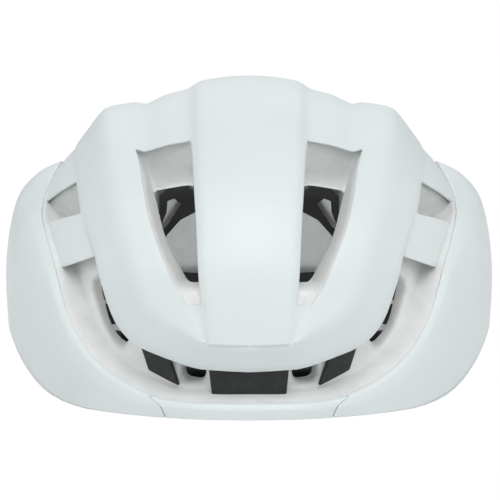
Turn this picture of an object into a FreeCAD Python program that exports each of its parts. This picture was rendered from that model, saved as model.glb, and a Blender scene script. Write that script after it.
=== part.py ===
import FreeCAD, Part
import math
import os
import Sketcher
from FreeCAD import Placement, Rotation, Vector

# Road cycling helmet standing on its own rim, in millimetres.
# Front is -Y, the wearer's left is +X, +Z is up.
# The origin is under the middle of the helmet, on the surface it stands on.

doc = FreeCAD.newDocument("cycling_helmet")
sheet = doc.addObject("Spreadsheet::Sheet", "sizes")

SIZES = [
    # foam body and its thin outer skins
    ("half_width", 104), ("half_length", 138), ("crown_rise", 74), ("skirt_drop", 160),
    ("equator_z", 55), ("skin", 0.8), ("channel_depth", 7), ("facet_depth", 7),
    ("recess_depth", 14), ("gap_depth", 13), ("seam_width", 0.6),
    ("cavity_half_width", 80), ("cavity_half_length", 104), ("cavity_rise", 42),
    ("cavity_drop", 150), ("arch_height", 24), ("notch_half_width", 38), ("notch_top", 42),
    # dark inserts in the brow gap and the soft pads
    ("panel_thick", 2.5), ("pad_thick", 5), ("pad_gap", 0.3),
    # retention: bands on an arc about a vertical line, pinion between two racks
    ("band_radius", 71), ("band_centre_y", 24), ("band_centre_z", 41), ("band_tilt", 14.3),
    ("band_thick", 1.6), ("band_height", 11), ("band_pin_angle", 84), ("band_travel", 12.7),
    ("gear_module", 1), ("gear_teeth", 10), ("pinion_width", 3), ("rack_back", 2.4),
    ("run_gap", 0.4), ("shaft_radius", 2), ("shaft_fit", 0.05), ("knob_radius", 13),
    ("knob_depth", 8), ("knob_web", 2), ("grip_count", 18), ("housing_angle", 27), ("housing_wall", 1.5),
    ("pin_radius", 2.5), ("anchor_thick", 2), ("cradle_gap", 3.5),
    ("cradle_thick", 2.4), ("rail_thick", 2.6), ("rail_slot", 2.6), ("stud_radius", 2),
    ("stud_z", 70), ("stud_travel", 9), ("clip_thick", 1.5), ("relief_radius", 1.2),
    # webbing and its fittings
    ("strap_width", 15), ("strap_thick", 1.4), ("strap_lift", 2), ("strap_gap", 0.4),
    ("divider_length", 26), ("divider_width", 20), ("divider_thick", 4), ("divider_x", 50),
    ("floor_gap", 0.3), ("buckle_half_length", 22), ("mouth_x", 6), ("prong_reach", 14),
    ("strap_line_y", 12), ("buckle_width", 24), ("buckle_thick", 9), ("buckle_wall", 1.8),
    ("keeper_length", 6), ("keeper_wall", 1.2), ("strap_socket", 4),
]
for row, (alias, number) in enumerate(SIZES, start=1):
    sheet.set("A%d" % row, alias)
    sheet.set("B%d" % row, str(number))
    sheet.setAlias("B%d" % row, alias)
doc.recompute()


def size(alias):
    """The number that a named cell of the sheet holds."""
    return float(getattr(sheet, alias))


def bind(item, **expressions):
    """Tie properties of an object to cells, such as Length="half_width * 2"."""
    for prop, text in expressions.items():
        for alias, _ in SIZES:
            text = (" " + text + " ").replace(" %s " % alias, " sizes.%s " % alias)
        item.setExpression(prop.replace("__", "."), text.strip())
    return item


def place(item, x=0, y=0, z=0, turn=None):
    item.Placement = Placement(Vector(x, y, z), turn or Rotation())
    return item


def cut(name, base, tools):
    """Base less every tool, as a chain of parametric cuts."""
    for number, tool in enumerate(tools):
        step = doc.addObject("Part::Cut", "%s_cut%d" % (name, number))
        step.Base = base
        step.Tool = tool
        base = step
    return base


def fuse(name, shapes):
    joined = doc.addObject("Part::MultiFuse", name + "_fuse")
    joined.Shapes = shapes
    return joined


def common(name, base, tool):
    shared = doc.addObject("Part::Common", name + "_common")
    shared.Base = base
    shared.Tool = tool
    return shared


def feature(name, shape):
    """A computed shape that the primitives and bodies can't give."""
    item = doc.addObject("Part::Feature", name)
    item.Shape = shape
    return item


# ---------------------------------------------------------------- foam body

def dome(name, width, length, rise, drop):
    """Half ellipsoid above the widest section and a taller one below it."""
    halves = []
    for part, height, low, high in (("top", rise, 0, 90), ("skirt", drop, -90, 0)):
        half = doc.addObject("Part::Ellipsoid", name + "_" + part)
        half.Angle1 = low
        half.Angle2 = high
        bind(half, Radius1=height, Radius2=width, Radius3=length, Placement__Base__z=" equator_z ")
        halves.append(half)
    return fuse(name, halves)


def on_dome(u, angle, inset):
    """Point on the dome: u is the share of the half width, the angle runs
    from 0 at the front over 90 at the crown, the inset is its depth."""
    along = math.radians(angle)
    ring = math.sqrt(max(0.0, 1 - u * u))
    rise = size("crown_rise") if 0 <= angle <= 180 else size("skirt_drop")
    return Vector(u * (size("half_width") - inset),
                  -(size("half_length") - inset) * math.cos(along) * ring,
                  size("equator_z") + (rise - inset) * math.sin(along) * ring)


def skinned(sections):
    """Solid through rings of points, every side split into triangles."""
    count = len(sections[0])
    triangles = []
    for near, far in zip(sections, sections[1:]):
        for i in range(count):
            j = (i + 1) % count
            triangles += [(near[i], near[j], far[j]), (near[i], far[j], far[i])]
    for i in range(1, count - 1):
        triangles.append((sections[0][0], sections[0][i + 1], sections[0][i]))
        triangles.append((sections[-1][0], sections[-1][i], sections[-1][i + 1]))
    faces = [Part.Face(Part.makePolygon([a, b, c, a])) for a, b, c in triangles]
    solid = Part.makeSolid(Part.makeShell(faces))
    if solid.Volume < 0:
        solid.reverse()
    return solid


# Feature lines as (share of half width, angle) pairs, station by station.
RIB_EDGE = [(.17, -5), (.19, 6), (.203, 25), (.202, 45), (.197, 65), (.194, 90),
            (.19, 115), (.18, 140), (.16, 160), (.13, 177)]
VENT_EDGE = [(.19, -5), (.315, 6), (.388, 25), (.445, 45), (.482, 65), (.475, 90),
             (.455, 115), (.42, 140), (.36, 160), (.26, 177)]
CREST = [(0, -8.7), (.17, -8.7), (.32, -5), (.40, -1), (.44, 7.5), (.482, 20), (.534, 38),
         (.57, 55), (.578, 78), (.575, 100), (.56, 125), (.53, 148), (.45, 170), (.36, 182)]
FACET_FOOT = [(0, -13.4), (.18, -13.6), (.37, -12.2), (.53, -9.5), (.60, -4.3), (.645, 9),
              (.69, 30), (.727, 53), (.741, 78), (.74, 100), (.72, 125), (.68, 150),
              (.60, 171), (.48, 184)]
LOBE_EDGE = [(0, -17.7), (.19, -18.1), (.36, -18.7), (.52, -17.3), (.648, -12.6), (.785, 3),
             (.83, 22), (.842, 43), (.84, 78), (.84, 100), (.82, 125), (.78, 151),
             (.70, 172), (.55, 187)]
GAP_LAST = 4            # station where the open brow gap ends
OUTSIDE = -12           # an inset well clear of the foam


def channel(side, layer):
    """Trough between the middle rib and a side rib."""
    spread = layer / size("half_width")
    depth = size("channel_depth") + layer
    wall = .03
    rings = []
    for (rib, angle), (edge, _) in zip(RIB_EDGE, VENT_EDGE):
        slope = min(wall, (edge - rib) / 3)
        ring = [(rib - spread, OUTSIDE), (rib + slope - spread, depth),
                (edge - slope + spread, depth), (edge + spread, OUTSIDE)]
        rings.append([on_dome(side * u, angle, inset) for u, inset in ring])
    return skinned(rings)


def flank(side, layer):
    """Sloping facet outside a side rib, and the recess beside it."""
    spread = layer / size("half_width")
    rings = []
    for station in range(GAP_LAST - 1, len(CREST)):
        crest, crest_angle = CREST[station]
        foot, foot_angle = FACET_FOOT[station]
        lobe, lobe_angle = LOBE_EDGE[station]
        depth = size("recess_depth") + layer
        ring = [(lobe + spread, lobe_angle, OUTSIDE),
                (crest - spread, crest_angle, OUTSIDE), (crest - spread, crest_angle, 1 + layer),
                (foot - spread, foot_angle, size("facet_depth") + layer),
                (foot + .01, foot_angle, depth), (lobe - .01, lobe_angle, depth)]
        rings.append([on_dome(side * u, angle, inset) for u, angle, inset in ring])
    return skinned(rings)


def brow_gap(depth):
    """Open gap between the nose of the ribs and the brow band."""
    rings = []
    stations = list(range(GAP_LAST, -1, -1)) + list(range(1, GAP_LAST + 1))
    for number, station in enumerate(stations):
        side = -1 if number < GAP_LAST else 1
        foot, foot_angle = FACET_FOOT[station]
        lobe, lobe_angle = LOBE_EDGE[station]
        rings.append([on_dome(side * foot, foot_angle, OUTSIDE),
                      on_dome(side * foot, foot_angle, depth),
                      on_dome(side * lobe, lobe_angle, depth),
                      on_dome(side * lobe, lobe_angle, OUTSIDE)])
    return skinned(rings)


THROUGH = 50            # an inset inside the head cavity
# Openings right through the foam: rings of (inner u, outer u, angle).
OPENINGS = {
    "front": [(.185, .20, -3), (.20, .305, 6), (.213, .378, 25), (.212, .437, 45), (.21, .45, 55)],
    "crown": [(.215, .45, 94), (.21, .44, 112)],
    "rear_upper": [(.21, .43, 120), (.20, .40, 146)],
    "rear_lower": [(.185, .36, 154), (.15, .27, 173)],
    "side": [(.745, .80, 31), (.74, .88, 40), (.745, .885, 55)],
    "side_rear": [(.755, .83, 96), (.74, .81, 122)],
    "nape": [(.70, .77, 136), (.63, .71, 164)],
    "brow": [(.19, .27, -14.2), (.19, .27, -17.9)],
    "temple": [(.60, .70, -12.5), (.65, .76, -4)],
}


def opening(side, rings):
    return skinned([[on_dome(side * u, angle, inset)
                     for u, inset in ((inner, OUTSIDE), (inner + .005, THROUGH),
                                      (outer - .005, THROUGH), (outer, OUTSIDE))]
                    for inner, outer, angle in rings])


def rim_arch():
    """Underside: open below the standing plane and arched up over the ears."""
    wide = size("half_width") * 1.3
    far = size("half_length") * 1.3
    arch = size("arch_height")
    outline = [(-far, 0), (-far * .32, 0), (-far * .16, arch), (far * .16, arch),
               (far * .38, 0), (far, 0), (far, -size("skirt_drop")), (-far, -size("skirt_drop"))]
    points = [Vector(-wide, y, z) for y, z in outline]
    return Part.Face(Part.makePolygon(points + points[:1])).extrude(Vector(2 * wide, 0, 0))


def nape_notch():
    """Opening at the back of the rim, where the dial is turned by hand."""
    half = size("notch_half_width")
    top = size("notch_top")
    outline = [(-half, -1), (half, -1), (half, top * .85), (half * .86, top),
               (-half * .86, top), (-half, top * .85)]
    points = [Vector(x, size("band_centre_y"), z) for x, z in outline]
    face = Part.Face(Part.makePolygon(points + points[:1]))
    return face.extrude(Vector(0, size("half_length"), 0))


# Seam between the upper skin and the two side skins: u, angle, and the
# small step in each that gives the seam its width.
SEAM = [(.62, -12.6, -.008, 0), (.758, 3, -.008, 0), (.80, 22, -.008, 0), (.814, 43, -.008, 0),
        (.812, 78, -.008, 0), (.812, 100, -.008, 0), (.79, 125, -.008, 0), (.75, 151, -.008, 0),
        (.67, 171, -.007, -.3), (.50, 187, -.004, -.5), (.25, 189, 0, -.5)]


def shell_seam():
    rings = []
    for side, stations in ((1, SEAM), (-1, SEAM[::-1])):
        for u, angle, u_step, angle_step in stations:
            near = [on_dome(side * u, angle, inset) for inset in (OUTSIDE, 25)]
            far = [on_dome(side * (u + u_step), angle + angle_step, inset) for inset in (25, OUTSIDE)]
            rings.append(near + far)
    return skinned(rings)


def brow_seam(side):
    step = size("seam_width") / size("half_width")
    rings = [[on_dome(side * u, angle, inset)
              for u, inset in ((left, OUTSIDE), (left, 4), (left + step, 4), (left + step, OUTSIDE))]
             for left, angle in ((.36, -15), (.33, -23))]
    return skinned(rings)


SIDES = (("left", 1), ("right", -1))
parts = {}


def carve(shape, tools):
    """Shape less the tools, one after another."""
    for tool in tools:
        shape = shape.cut(tool)
    return shape


def build_foam_and_skins():
    """Foam inside a thin skin that follows every facet, both opened by the same
    cutters, and the skin then parted along its seams."""
    outer = dome("outer_dome", " half_width ", " half_length ", " crown_rise ", " skirt_drop ")
    inner = dome("inner_dome", " half_width - skin ", " half_length - skin ",
                 " crown_rise - skin ", " skirt_drop - skin ")
    cavity = dome("cavity", " cavity_half_width ", " cavity_half_length ",
                  " cavity_rise ", " cavity_drop ")
    doc.recompute()
    relief = {}
    for name, blank, layer in (("outside", outer, 0), ("inside", inner, size("skin"))):
        relief[name] = carve(blank.Shape, [make(side, layer) for make in (channel, flank)
                                           for _, side in SIDES])
    cutters = [rim_arch(), nape_notch(), brow_gap(size("gap_depth"))]
    cutters += [opening(side, rings) for rings in OPENINGS.values() for _, side in SIDES]
    seams = [shell_seam()] + [brow_seam(side) for _, side in SIDES]
    parts["foam_liner"] = feature("foam_liner", carve(relief["inside"], [cavity.Shape] + cutters))
    return carve(relief["outside"], [relief["inside"]] + cutters + seams)


def share_out_skins(skins):
    """Name each solid of the cut skin by where it lies."""
    groups = {"upper_shell": [], "brow_shell": [], "side_shell_left": [], "side_shell_right": []}
    for solid in skins.Solids:
        centre = solid.CenterOfMass
        if abs(centre.x) > size("half_width") / 4:
            name = "side_shell_left" if centre.x > 0 else "side_shell_right"
        else:
            name = "upper_shell" if centre.z > size("equator_z") else "brow_shell"
        groups[name].append(solid)
    for name, solids in groups.items():
        largest = max(solids, key=lambda solid: solid.Volume)
        parts[name] = feature(name, largest)


# ---------------------------------------------------------------- inserts and pads

def build_brow_panels():
    """Dark inserts that line the floor of the brow gap, between its windows."""
    faces = dome("panel_faces", *[" %s - gap_depth + panel_thick " % cell for cell in
                                  ("half_width", "half_length", "crown_rise", "skirt_drop")])
    doc.recompute()
    layer = brow_gap(size("gap_depth")).common(faces.Shape)
    wide = size("half_width")
    for name, low, high in (("left", .29, .46), ("centre", -.17, .17), ("right", -.46, -.29)):
        slab = Part.makeBox((high - low) * wide, size("half_length"), size("equator_z"),
                            Vector(low * wide, -size("half_length") * 1.05, 0))
        parts["brow_panel_" + name] = feature("brow_panel_" + name, layer.common(slab))


def wall_layer(name, thick, *clear_of):
    """Sheet that follows the cavity wall: its thickness, and what lies between."""
    domes = []
    for label, offsets in (("near", clear_of), ("far", clear_of + (thick,))):
        cells = ("cavity_half_width", "cavity_half_length", "cavity_rise", "cavity_drop")
        domes.append(dome(name + "_" + label, *[" " + " - ".join((cell,) + offsets) + " " for cell in cells]))
    return cut(name, domes[0], [domes[1]])


def block(name, x, y, z):
    """Box between two corners, each given as (low, high)."""
    item = doc.addObject("Part::Box", name)
    item.Length = x[1] - x[0]
    item.Width = y[1] - y[0]
    item.Height = z[1] - z[0]
    return place(item, x[0], y[0], z[0])


def prism(name, outline, low, high):
    """Outline in X and Z, drawn out along Y."""
    points = [Vector(x, low, z) for x, z in outline]
    face = Part.Face(Part.makePolygon(points + points[:1]))
    return feature(name, face.extrude(Vector(0, high - low, 0)))


def build_pads():
    layer = wall_layer("pad_sheet", "pad_thick", "pad_gap")
    top = size("equator_z") + size("cavity_rise")
    back = size("cavity_half_length")
    strips = {
        "brow_pad": ((-58, 58), (-back, -back * .5), (4, 17)),
        "crown_pad": ((-11, 11), (-52, 50), (top - 25, top)),
        "side_pad_left": ((44, 59), (-42, 44), (top - 32, top)),
        "side_pad_right": ((-59, -44), (-42, 44), (top - 32, top)),
    }
    for name, (x, y, z) in strips.items():
        parts[name] = common(name, layer, block(name + "_room", x, y, z))


# ---------------------------------------------------------------- retention

def retention_frame():
    """Frame of the bands: its Z is their common axis, its Y points to the dial."""
    tilt = Rotation(Vector(1, 0, 0), -size("band_tilt"))
    return Placement(Vector(0, size("band_centre_y"), size("band_centre_z")), tilt)


def arc_wall(radius_in, radius_out, low, high, start, end):
    """Curved wall about the bands' axis; angles run from the back to the wearer's left."""
    face = Part.Face(Part.makePolygon([Vector(radius_in, 0, low), Vector(radius_out, 0, low),
                                       Vector(radius_out, 0, high), Vector(radius_in, 0, high),
                                       Vector(radius_in, 0, low)]))
    wall = face.revolve(Vector(), Vector(0, 0, 1), end - start)
    wall.rotate(Vector(), Vector(0, 0, 1), 90 - end)
    return wall


def pitch_radius():
    return size("gear_module") * size("gear_teeth") / 2


def band_shape(side):
    """Band with a pin slot at its front end and a rack strip past the dial.
    The left band's rack runs over the pinion, the right band's under it. The neck
    is low enough for the other band's teeth to pass over."""
    middle = size("band_radius")
    inner = middle - size("band_thick") / 2
    outer = middle + size("band_thick") / 2
    half = size("band_height") / 2
    module = size("gear_module")
    root = pitch_radius() + 1.25 * module
    back = root + size("rack_back")
    degrees = math.degrees(1 / middle)
    clear_pin = size("pin_radius") + size("run_gap")
    pin = size("band_pin_angle")
    slot_rear = pin - clear_pin * degrees
    slot_front = pin + size("band_travel") + (clear_pin + size("run_gap")) * degrees
    low = root - 2 * module - 2 * size("run_gap")
    strap = arc_wall(inner, outer, -half, half, 32, slot_front + 5)
    neck = arc_wall(inner, outer, -low, half, 18, 32)
    riser = arc_wall(inner, outer, -low, back, 18, 25)
    strip = arc_wall(inner, outer, root, back, -6, 19)
    slot = arc_wall(inner - 1, outer + 1, -clear_pin, clear_pin, slot_rear, slot_front)
    band = strap.fuse([neck, riser, strip]).cut(slot)
    pitch = math.pi * module * degrees
    teeth = [arc_wall(inner, outer, root - 2 * module, root, (number - .17) * pitch,
                      (number + .17) * pitch) for number in range(-2, 8)]
    band = band.fuse(teeth)
    band = band.removeSplitter()
    if side < 0:
        band = band.mirror(Vector(), Vector(1, 0, 0)).mirror(Vector(), Vector(0, 0, 1))
    return band


def pinion_shape():
    """Straight cut pinion on its shaft, which runs back into the knob."""
    module = size("gear_module")
    root = pitch_radius() - 1.25 * module
    middle = size("band_radius")
    front = middle - size("pinion_width") / 2
    gear = Part.makeCylinder(root, size("pinion_width"), Vector(0, front, 0), Vector(0, 1, 0))
    arc = math.pi * module
    tip = pitch_radius() + .75 * module
    for number in range(int(size("gear_teeth"))):
        outline = [(-.26 * arc, root - .3), (.26 * arc, root - .3), (.11 * arc, tip), (-.11 * arc, tip)]
        points = [Vector(x, front, z) for x, z in outline]
        tooth = Part.Face(Part.makePolygon(points + points[:1])).extrude(Vector(0, size("pinion_width"), 0))
        tooth.rotate(Vector(), Vector(0, 1, 0), (number + .5) * 360 / size("gear_teeth"))
        gear = gear.fuse(tooth)
    start = front - size("housing_wall")
    end = knob_face() + size("knob_depth") - size("knob_web")
    shaft = Part.makeCylinder(size("shaft_radius"), end - start, Vector(0, start, 0), Vector(0, 1, 0))
    return gear.fuse(shaft).removeSplitter()


def knob_face():
    """Distance from the bands' axis to the knob's flat face."""
    return housing_limits()[1] + size("housing_wall") + size("run_gap")


def housing_limits():
    """Radii and half height of the space inside the dial housing."""
    room = size("pinion_width") / 2 + size("run_gap")
    half = pitch_radius() + 1.25 * size("gear_module") + size("rack_back") + size("run_gap")
    return size("band_radius") - room - .3, size("band_radius") + room + .3, half


def build_retention():
    frame = retention_frame()
    inner, outer, half = housing_limits()
    wall = size("housing_wall")
    wide = size("housing_angle")
    shaft_hole = Part.makeCylinder(size("shaft_radius") + size("shaft_fit"), 4 * size("pinion_width") + 20,
                                   Vector(0, inner - 5, 0), Vector(0, 1, 0))
    # tray: the front wall with a rim all round, open at both ends for the bands
    tray = arc_wall(inner - wall, outer, -half - wall, half + wall, -wide, wide)
    tray = tray.cut([arc_wall(inner, outer + 1, -half, half, -wide - 1, wide + 1), shaft_hole])
    tray.Placement = frame
    layer = wall_layer("cradle_sheet", "cradle_thick", "cradle_gap")
    # yoke: a plate across the top, two curved arms to each side and a middle post
    half_outline = [(0, 80), (12, 80), (24, 79), (33, 77.5), (39.5, 71), (39.5, 64), (43, 56),
                    (47, 45), (45, 39), (40, 41), (36.5, 52.5), (30.5, 59), (24, 62.3), (14, 61),
                    (9.5, 56), (10, 46), (11, 27), (0, 27)]
    window = [(30, 66.5), (33, 69.5), (36, 68.5), (36.5, 63), (40.5, 53), (36.5, 56.5)]
    outline = half_outline + [(-x, z) for x, z in half_outline[-2:0:-1]]
    blank = prism("cradle_outline", outline, 30, size("half_length"))
    web = common("cradle_web", layer, blank)
    windows = []
    for name, side in SIDES:
        windows.append(prism("cradle_window_" + name, [(side * x, z) for x, z in window],
                             30, size("half_length")).Shape)
        windows.append(Part.makeCylinder(size("relief_radius"), size("half_length"),
                                         Vector(side * 25.7, 30, 74.5), Vector(0, 1, 0)))
    doc.recompute()
    cover = arc_wall(outer, outer + wall, -half - wall, half + wall, -wide, wide).cut(shaft_hole)
    clear = size("shaft_fit")
    knob_room = Part.makeCylinder(size("knob_radius") + 1, 30, Vector(0, outer + wall, 0), Vector(0, 1, 0))
    cover_room = arc_wall(outer - clear, outer + wall + clear, -half - wall - 1, half + wall + clear,
                          -wide - 1, wide + 1)
    for room in (knob_room, cover_room):
        room.Placement = frame.multiply(room.Placement)
    stud = Part.makeCylinder(size("stud_radius"), stud_reach(),
                             Vector(0, rail_y() - stud_reach(), size("stud_z")), Vector(0, 1, 0))
    cradle = web.Shape
    for room in windows + [knob_room, cover_room]:
        cradle = cradle.cut(room)
    for piece in (tray, stud):
        cradle = cradle.fuse(piece)
    parts["cradle"] = feature("cradle", cradle.removeSplitter())
    for name, shape in (("dial_cover", cover), ("pinion", pinion_shape()),
                        ("band_left", band_shape(1)), ("band_right", band_shape(-1))):
        item = feature(name, shape)
        item.Placement = frame
        parts[name] = item
    parts["dial_knob"] = build_knob(frame, knob_face())
    build_anchors(frame)


def wall_y(z, inset):
    """How far back the cavity wall is at this height, in the middle plane."""
    rise = size("cavity_rise") if z > size("equator_z") else size("cavity_drop")
    level = (z - size("equator_z")) / (rise - inset)
    return (size("cavity_half_length") - inset) * math.sqrt(1 - level * level)


def wall_x(point, inset):
    """How far out the cavity wall is beside a point below its widest section."""
    along = point.y / (size("cavity_half_length") - inset)
    level = (point.z - size("equator_z")) / (size("cavity_drop") - inset)
    return (size("cavity_half_width") - inset) * math.sqrt(1 - along * along - level * level)


def rail_y():
    return wall_y(size("stud_z") + size("stud_radius"), size("pad_gap"))


def stud_reach():
    """From the rail's back face to the middle of the cradle's sheet."""
    return size("cradle_gap") - size("pad_gap") + size("cradle_thick")


def build_anchors(frame):
    """Plates on the cavity wall: the slotted rail for the cradle's stud, the two
    pin plates that the bands turn and slide on, and the clips on their pins."""
    rail = common("rail_blank", wall_layer("rail_sheet", "rail_thick", "pad_gap"),
                  block("rail_room", (-8, 8), (20, size("cavity_half_length")), (56, 78)))
    slot_low = size("stud_z") - size("stud_travel") - size("rail_slot")
    slot = block("rail_slot_room", (-size("rail_slot"), size("rail_slot")),
                 (20, size("cavity_half_length")), (slot_low, size("stud_z") + size("rail_slot")))
    parts["height_rail"] = cut("height_rail", rail, [slot])
    angle = math.radians(size("band_pin_angle"))
    radius = size("band_radius")
    pin = frame.multVec(Vector(radius * math.sin(angle), radius * math.cos(angle), 0))
    plates = wall_layer("anchor_sheet", "anchor_thick", "pad_gap")
    doc.recompute()
    for name, side in SIDES:
        room = block("anchor_room_" + name, (-8, 8), (pin.y - 8, pin.y + 8), (pin.z - 7, pin.z + 9))
        room.Length = size("half_width")
        room.Placement.Base.x = 0 if side > 0 else -size("half_width")
        plate = common("anchor_plate_" + name, plates, room)
        doc.recompute()
        start = pin.x - size("band_thick") / 2 - size("clip_thick") - 2.5 * size("run_gap")
        end = wall_x(pin, size("pad_gap") + size("anchor_thick") / 2)
        post = Part.makeCylinder(size("pin_radius"), end - start,
                                 Vector(side * start, pin.y, pin.z), Vector(side, 0, 0))
        parts["temple_anchor_" + name] = feature("temple_anchor_" + name,
                                                 plate.Shape.fuse(post).removeSplitter())
        clip = Part.makeCylinder(size("pin_radius") + 2.5, size("clip_thick"),
                                 Vector(side * start, pin.y, pin.z), Vector(side, 0, 0)).cut(post)
        parts["temple_clip_" + name] = feature("temple_clip_" + name, clip)


def build_knob(frame, face_radius):
    """Turned knob with grip grooves round its edge, pressed on the pinion's shaft."""
    body = doc.addObject("PartDesign::Body", "dial_knob")
    plane = next(item for item in body.Origin.OriginFeatures if item.Role == "XZ_Plane")

    def circle_sketch(name, radius, x=0, z=0):
        sketch = body.newObject("Sketcher::SketchObject", name)
        sketch.AttachmentSupport = [(plane, "")]
        sketch.MapMode = "FlatFace"
        centre = Vector(x, z, 0)
        sketch.addGeometry(Part.Circle(centre, Vector(0, 0, 1), 5), False)
        sketch.addConstraint(Sketcher.Constraint("Radius", 0, 5))
        sketch.setExpression("Constraints[0]", radius)
        return sketch

    disc = body.newObject("PartDesign::Pad", "knob_disc")
    disc.Profile = circle_sketch("knob_outline", "sizes.knob_radius")
    disc.setExpression("Length", "sizes.knob_depth")
    disc.Reversed = True
    doc.recompute()
    bore = body.newObject("PartDesign::Pocket", "knob_bore")
    bore.Profile = circle_sketch("knob_bore_outline", "sizes.shaft_radius")
    bore.setExpression("Length", "sizes.knob_depth - sizes.knob_web")
    doc.recompute()
    groove = body.newObject("PartDesign::Pocket", "knob_groove")
    groove.Profile = circle_sketch("knob_groove_outline", "sizes.knob_radius * 0.1",
                                   x=size("knob_radius") + .4)
    groove.Type = 1
    doc.recompute()
    ring = body.newObject("PartDesign::PolarPattern", "knob_grip")
    ring.Originals = [groove]
    axis = next(item for item in body.Origin.OriginFeatures if item.Role == "Y_Axis")
    ring.Axis = (axis, [""])
    ring.Angle = 360
    ring.setExpression("Occurrences", "sizes.grip_count")
    body.Tip = ring
    doc.recompute()
    body.Placement = frame.multiply(Placement(Vector(0, face_radius, 0), Rotation()))
    return body


# ---------------------------------------------------------------- webbing and buckle

def ribbon(points, across):
    """Flat webbing along a path; across is the direction of its width."""
    half = size("strap_width") / 2
    thick = size("strap_thick")
    rings = []
    for number, point in enumerate(points):
        ahead = points[min(number + 1, len(points) - 1)] - points[max(number - 1, 0)]
        side = Vector(across) - ahead * (ahead.dot(across) / ahead.dot(ahead))
        side.normalize()
        up = side.cross(ahead)
        up.normalize()
        side, up = side * half, up * thick / 2
        rings.append([point - side - up, point + side - up, point + side + up, point - side + up])
    return skinned(rings)


def build_webbing(foam):
    """Straps whose upper ends are moulded into the foam, and what they run through."""
    low = size("strap_lift") + size("strap_thick") / 2
    line = size("strap_line_y")
    centre = size("divider_x")
    reach = size("divider_length") / 2 - 4
    step = size("strap_thick") + size("strap_gap")
    wall = wall_layer("strap_anchor_sheet", "anchor_thick", "pad_gap")
    for name, side in SIDES:
        span = (0, size("half_width")) if side > 0 else (-size("half_width"), 0)
        rooms = []
        for label, y, z, x in (("front", -44, 19, 66), ("rear", 66, 16, 56)):
            rooms.append(block("strap_room_%s_%s" % (label, name), span, (y - 10, y + 10), (z, z + 9)))
            foot = -reach if label == "front" else reach
            path = [Vector(side * x, y, z - 4), Vector(side * (x - 4), y * .82, low + 4),
                    Vector(side * (x - 7), y * .66, low), Vector(side * centre, line + foot * 1.7, low),
                    Vector(side * centre, line + foot, low)]
            along = path[-1] - path[0]
            strap = feature("%s_strap_%s" % (label, name), ribbon(path, Vector(along.y, -along.x, 0)))
            parts[strap.Name] = strap
            foam.Shape = foam.Shape.cut(strap.Shape)
        parts["strap_anchors_" + name] = common(
            "strap_anchors_" + name, wall, fuse("strap_rooms_" + name, rooms))
        parts["strap_divider_" + name] = build_divider(name, side, low)
        near = size("divider_x") - size("divider_width") / 2 - size("strap_gap")
        far = size("buckle_half_length") + 2
        end = size("buckle_half_length") - size("strap_socket") + size("strap_gap")
        folds = [(near, 0), (far + 2, 0), (far, .5), (far + 2, 1), (near - 4, 1), (near - 2, 1.5),
                 (near - 4, 2), (end, 2)]
        path = [Vector(side * x, line, low + level * step) for x, level in folds]
        parts["chin_strap_" + name] = feature("chin_strap_" + name, ribbon(path, Vector(0, 1, 0)))


def build_divider(name, side, low):
    """Flat tunnel that gathers a front and a rear strap under the ear."""
    thick = size("divider_thick")
    blank = block("divider_blank_" + name, (0, 1), (0, 1), (0, 1))
    bind(blank, Length=" divider_width ", Width=" divider_length ", Height=" divider_thick ")
    x = side * size("divider_x") - size("divider_width") / 2
    y = size("strap_line_y") - size("divider_length") / 2
    place(blank, x, y, low - thick / 2)
    tunnel = block("divider_tunnel_" + name, (0, 1), (0, 1), (0, 1))
    gap = size("strap_gap")
    tunnel.Length = size("strap_width") + 2 * gap
    tunnel.Width = size("divider_length") + 2
    tunnel.Height = size("strap_thick") + 2 * gap
    centre = side * size("divider_x")
    place(tunnel, centre - size("strap_width") / 2 - gap, y - 1, low - size("strap_thick") / 2 - gap)
    return cut("strap_divider_" + name, blank, [tunnel])


def box_at(name, x, y, z):
    """Box given by its X span, its whole width about the strap line and its Z span."""
    line = size("strap_line_y")
    return block(name, x, (line - y / 2, line + y / 2), z)


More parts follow.
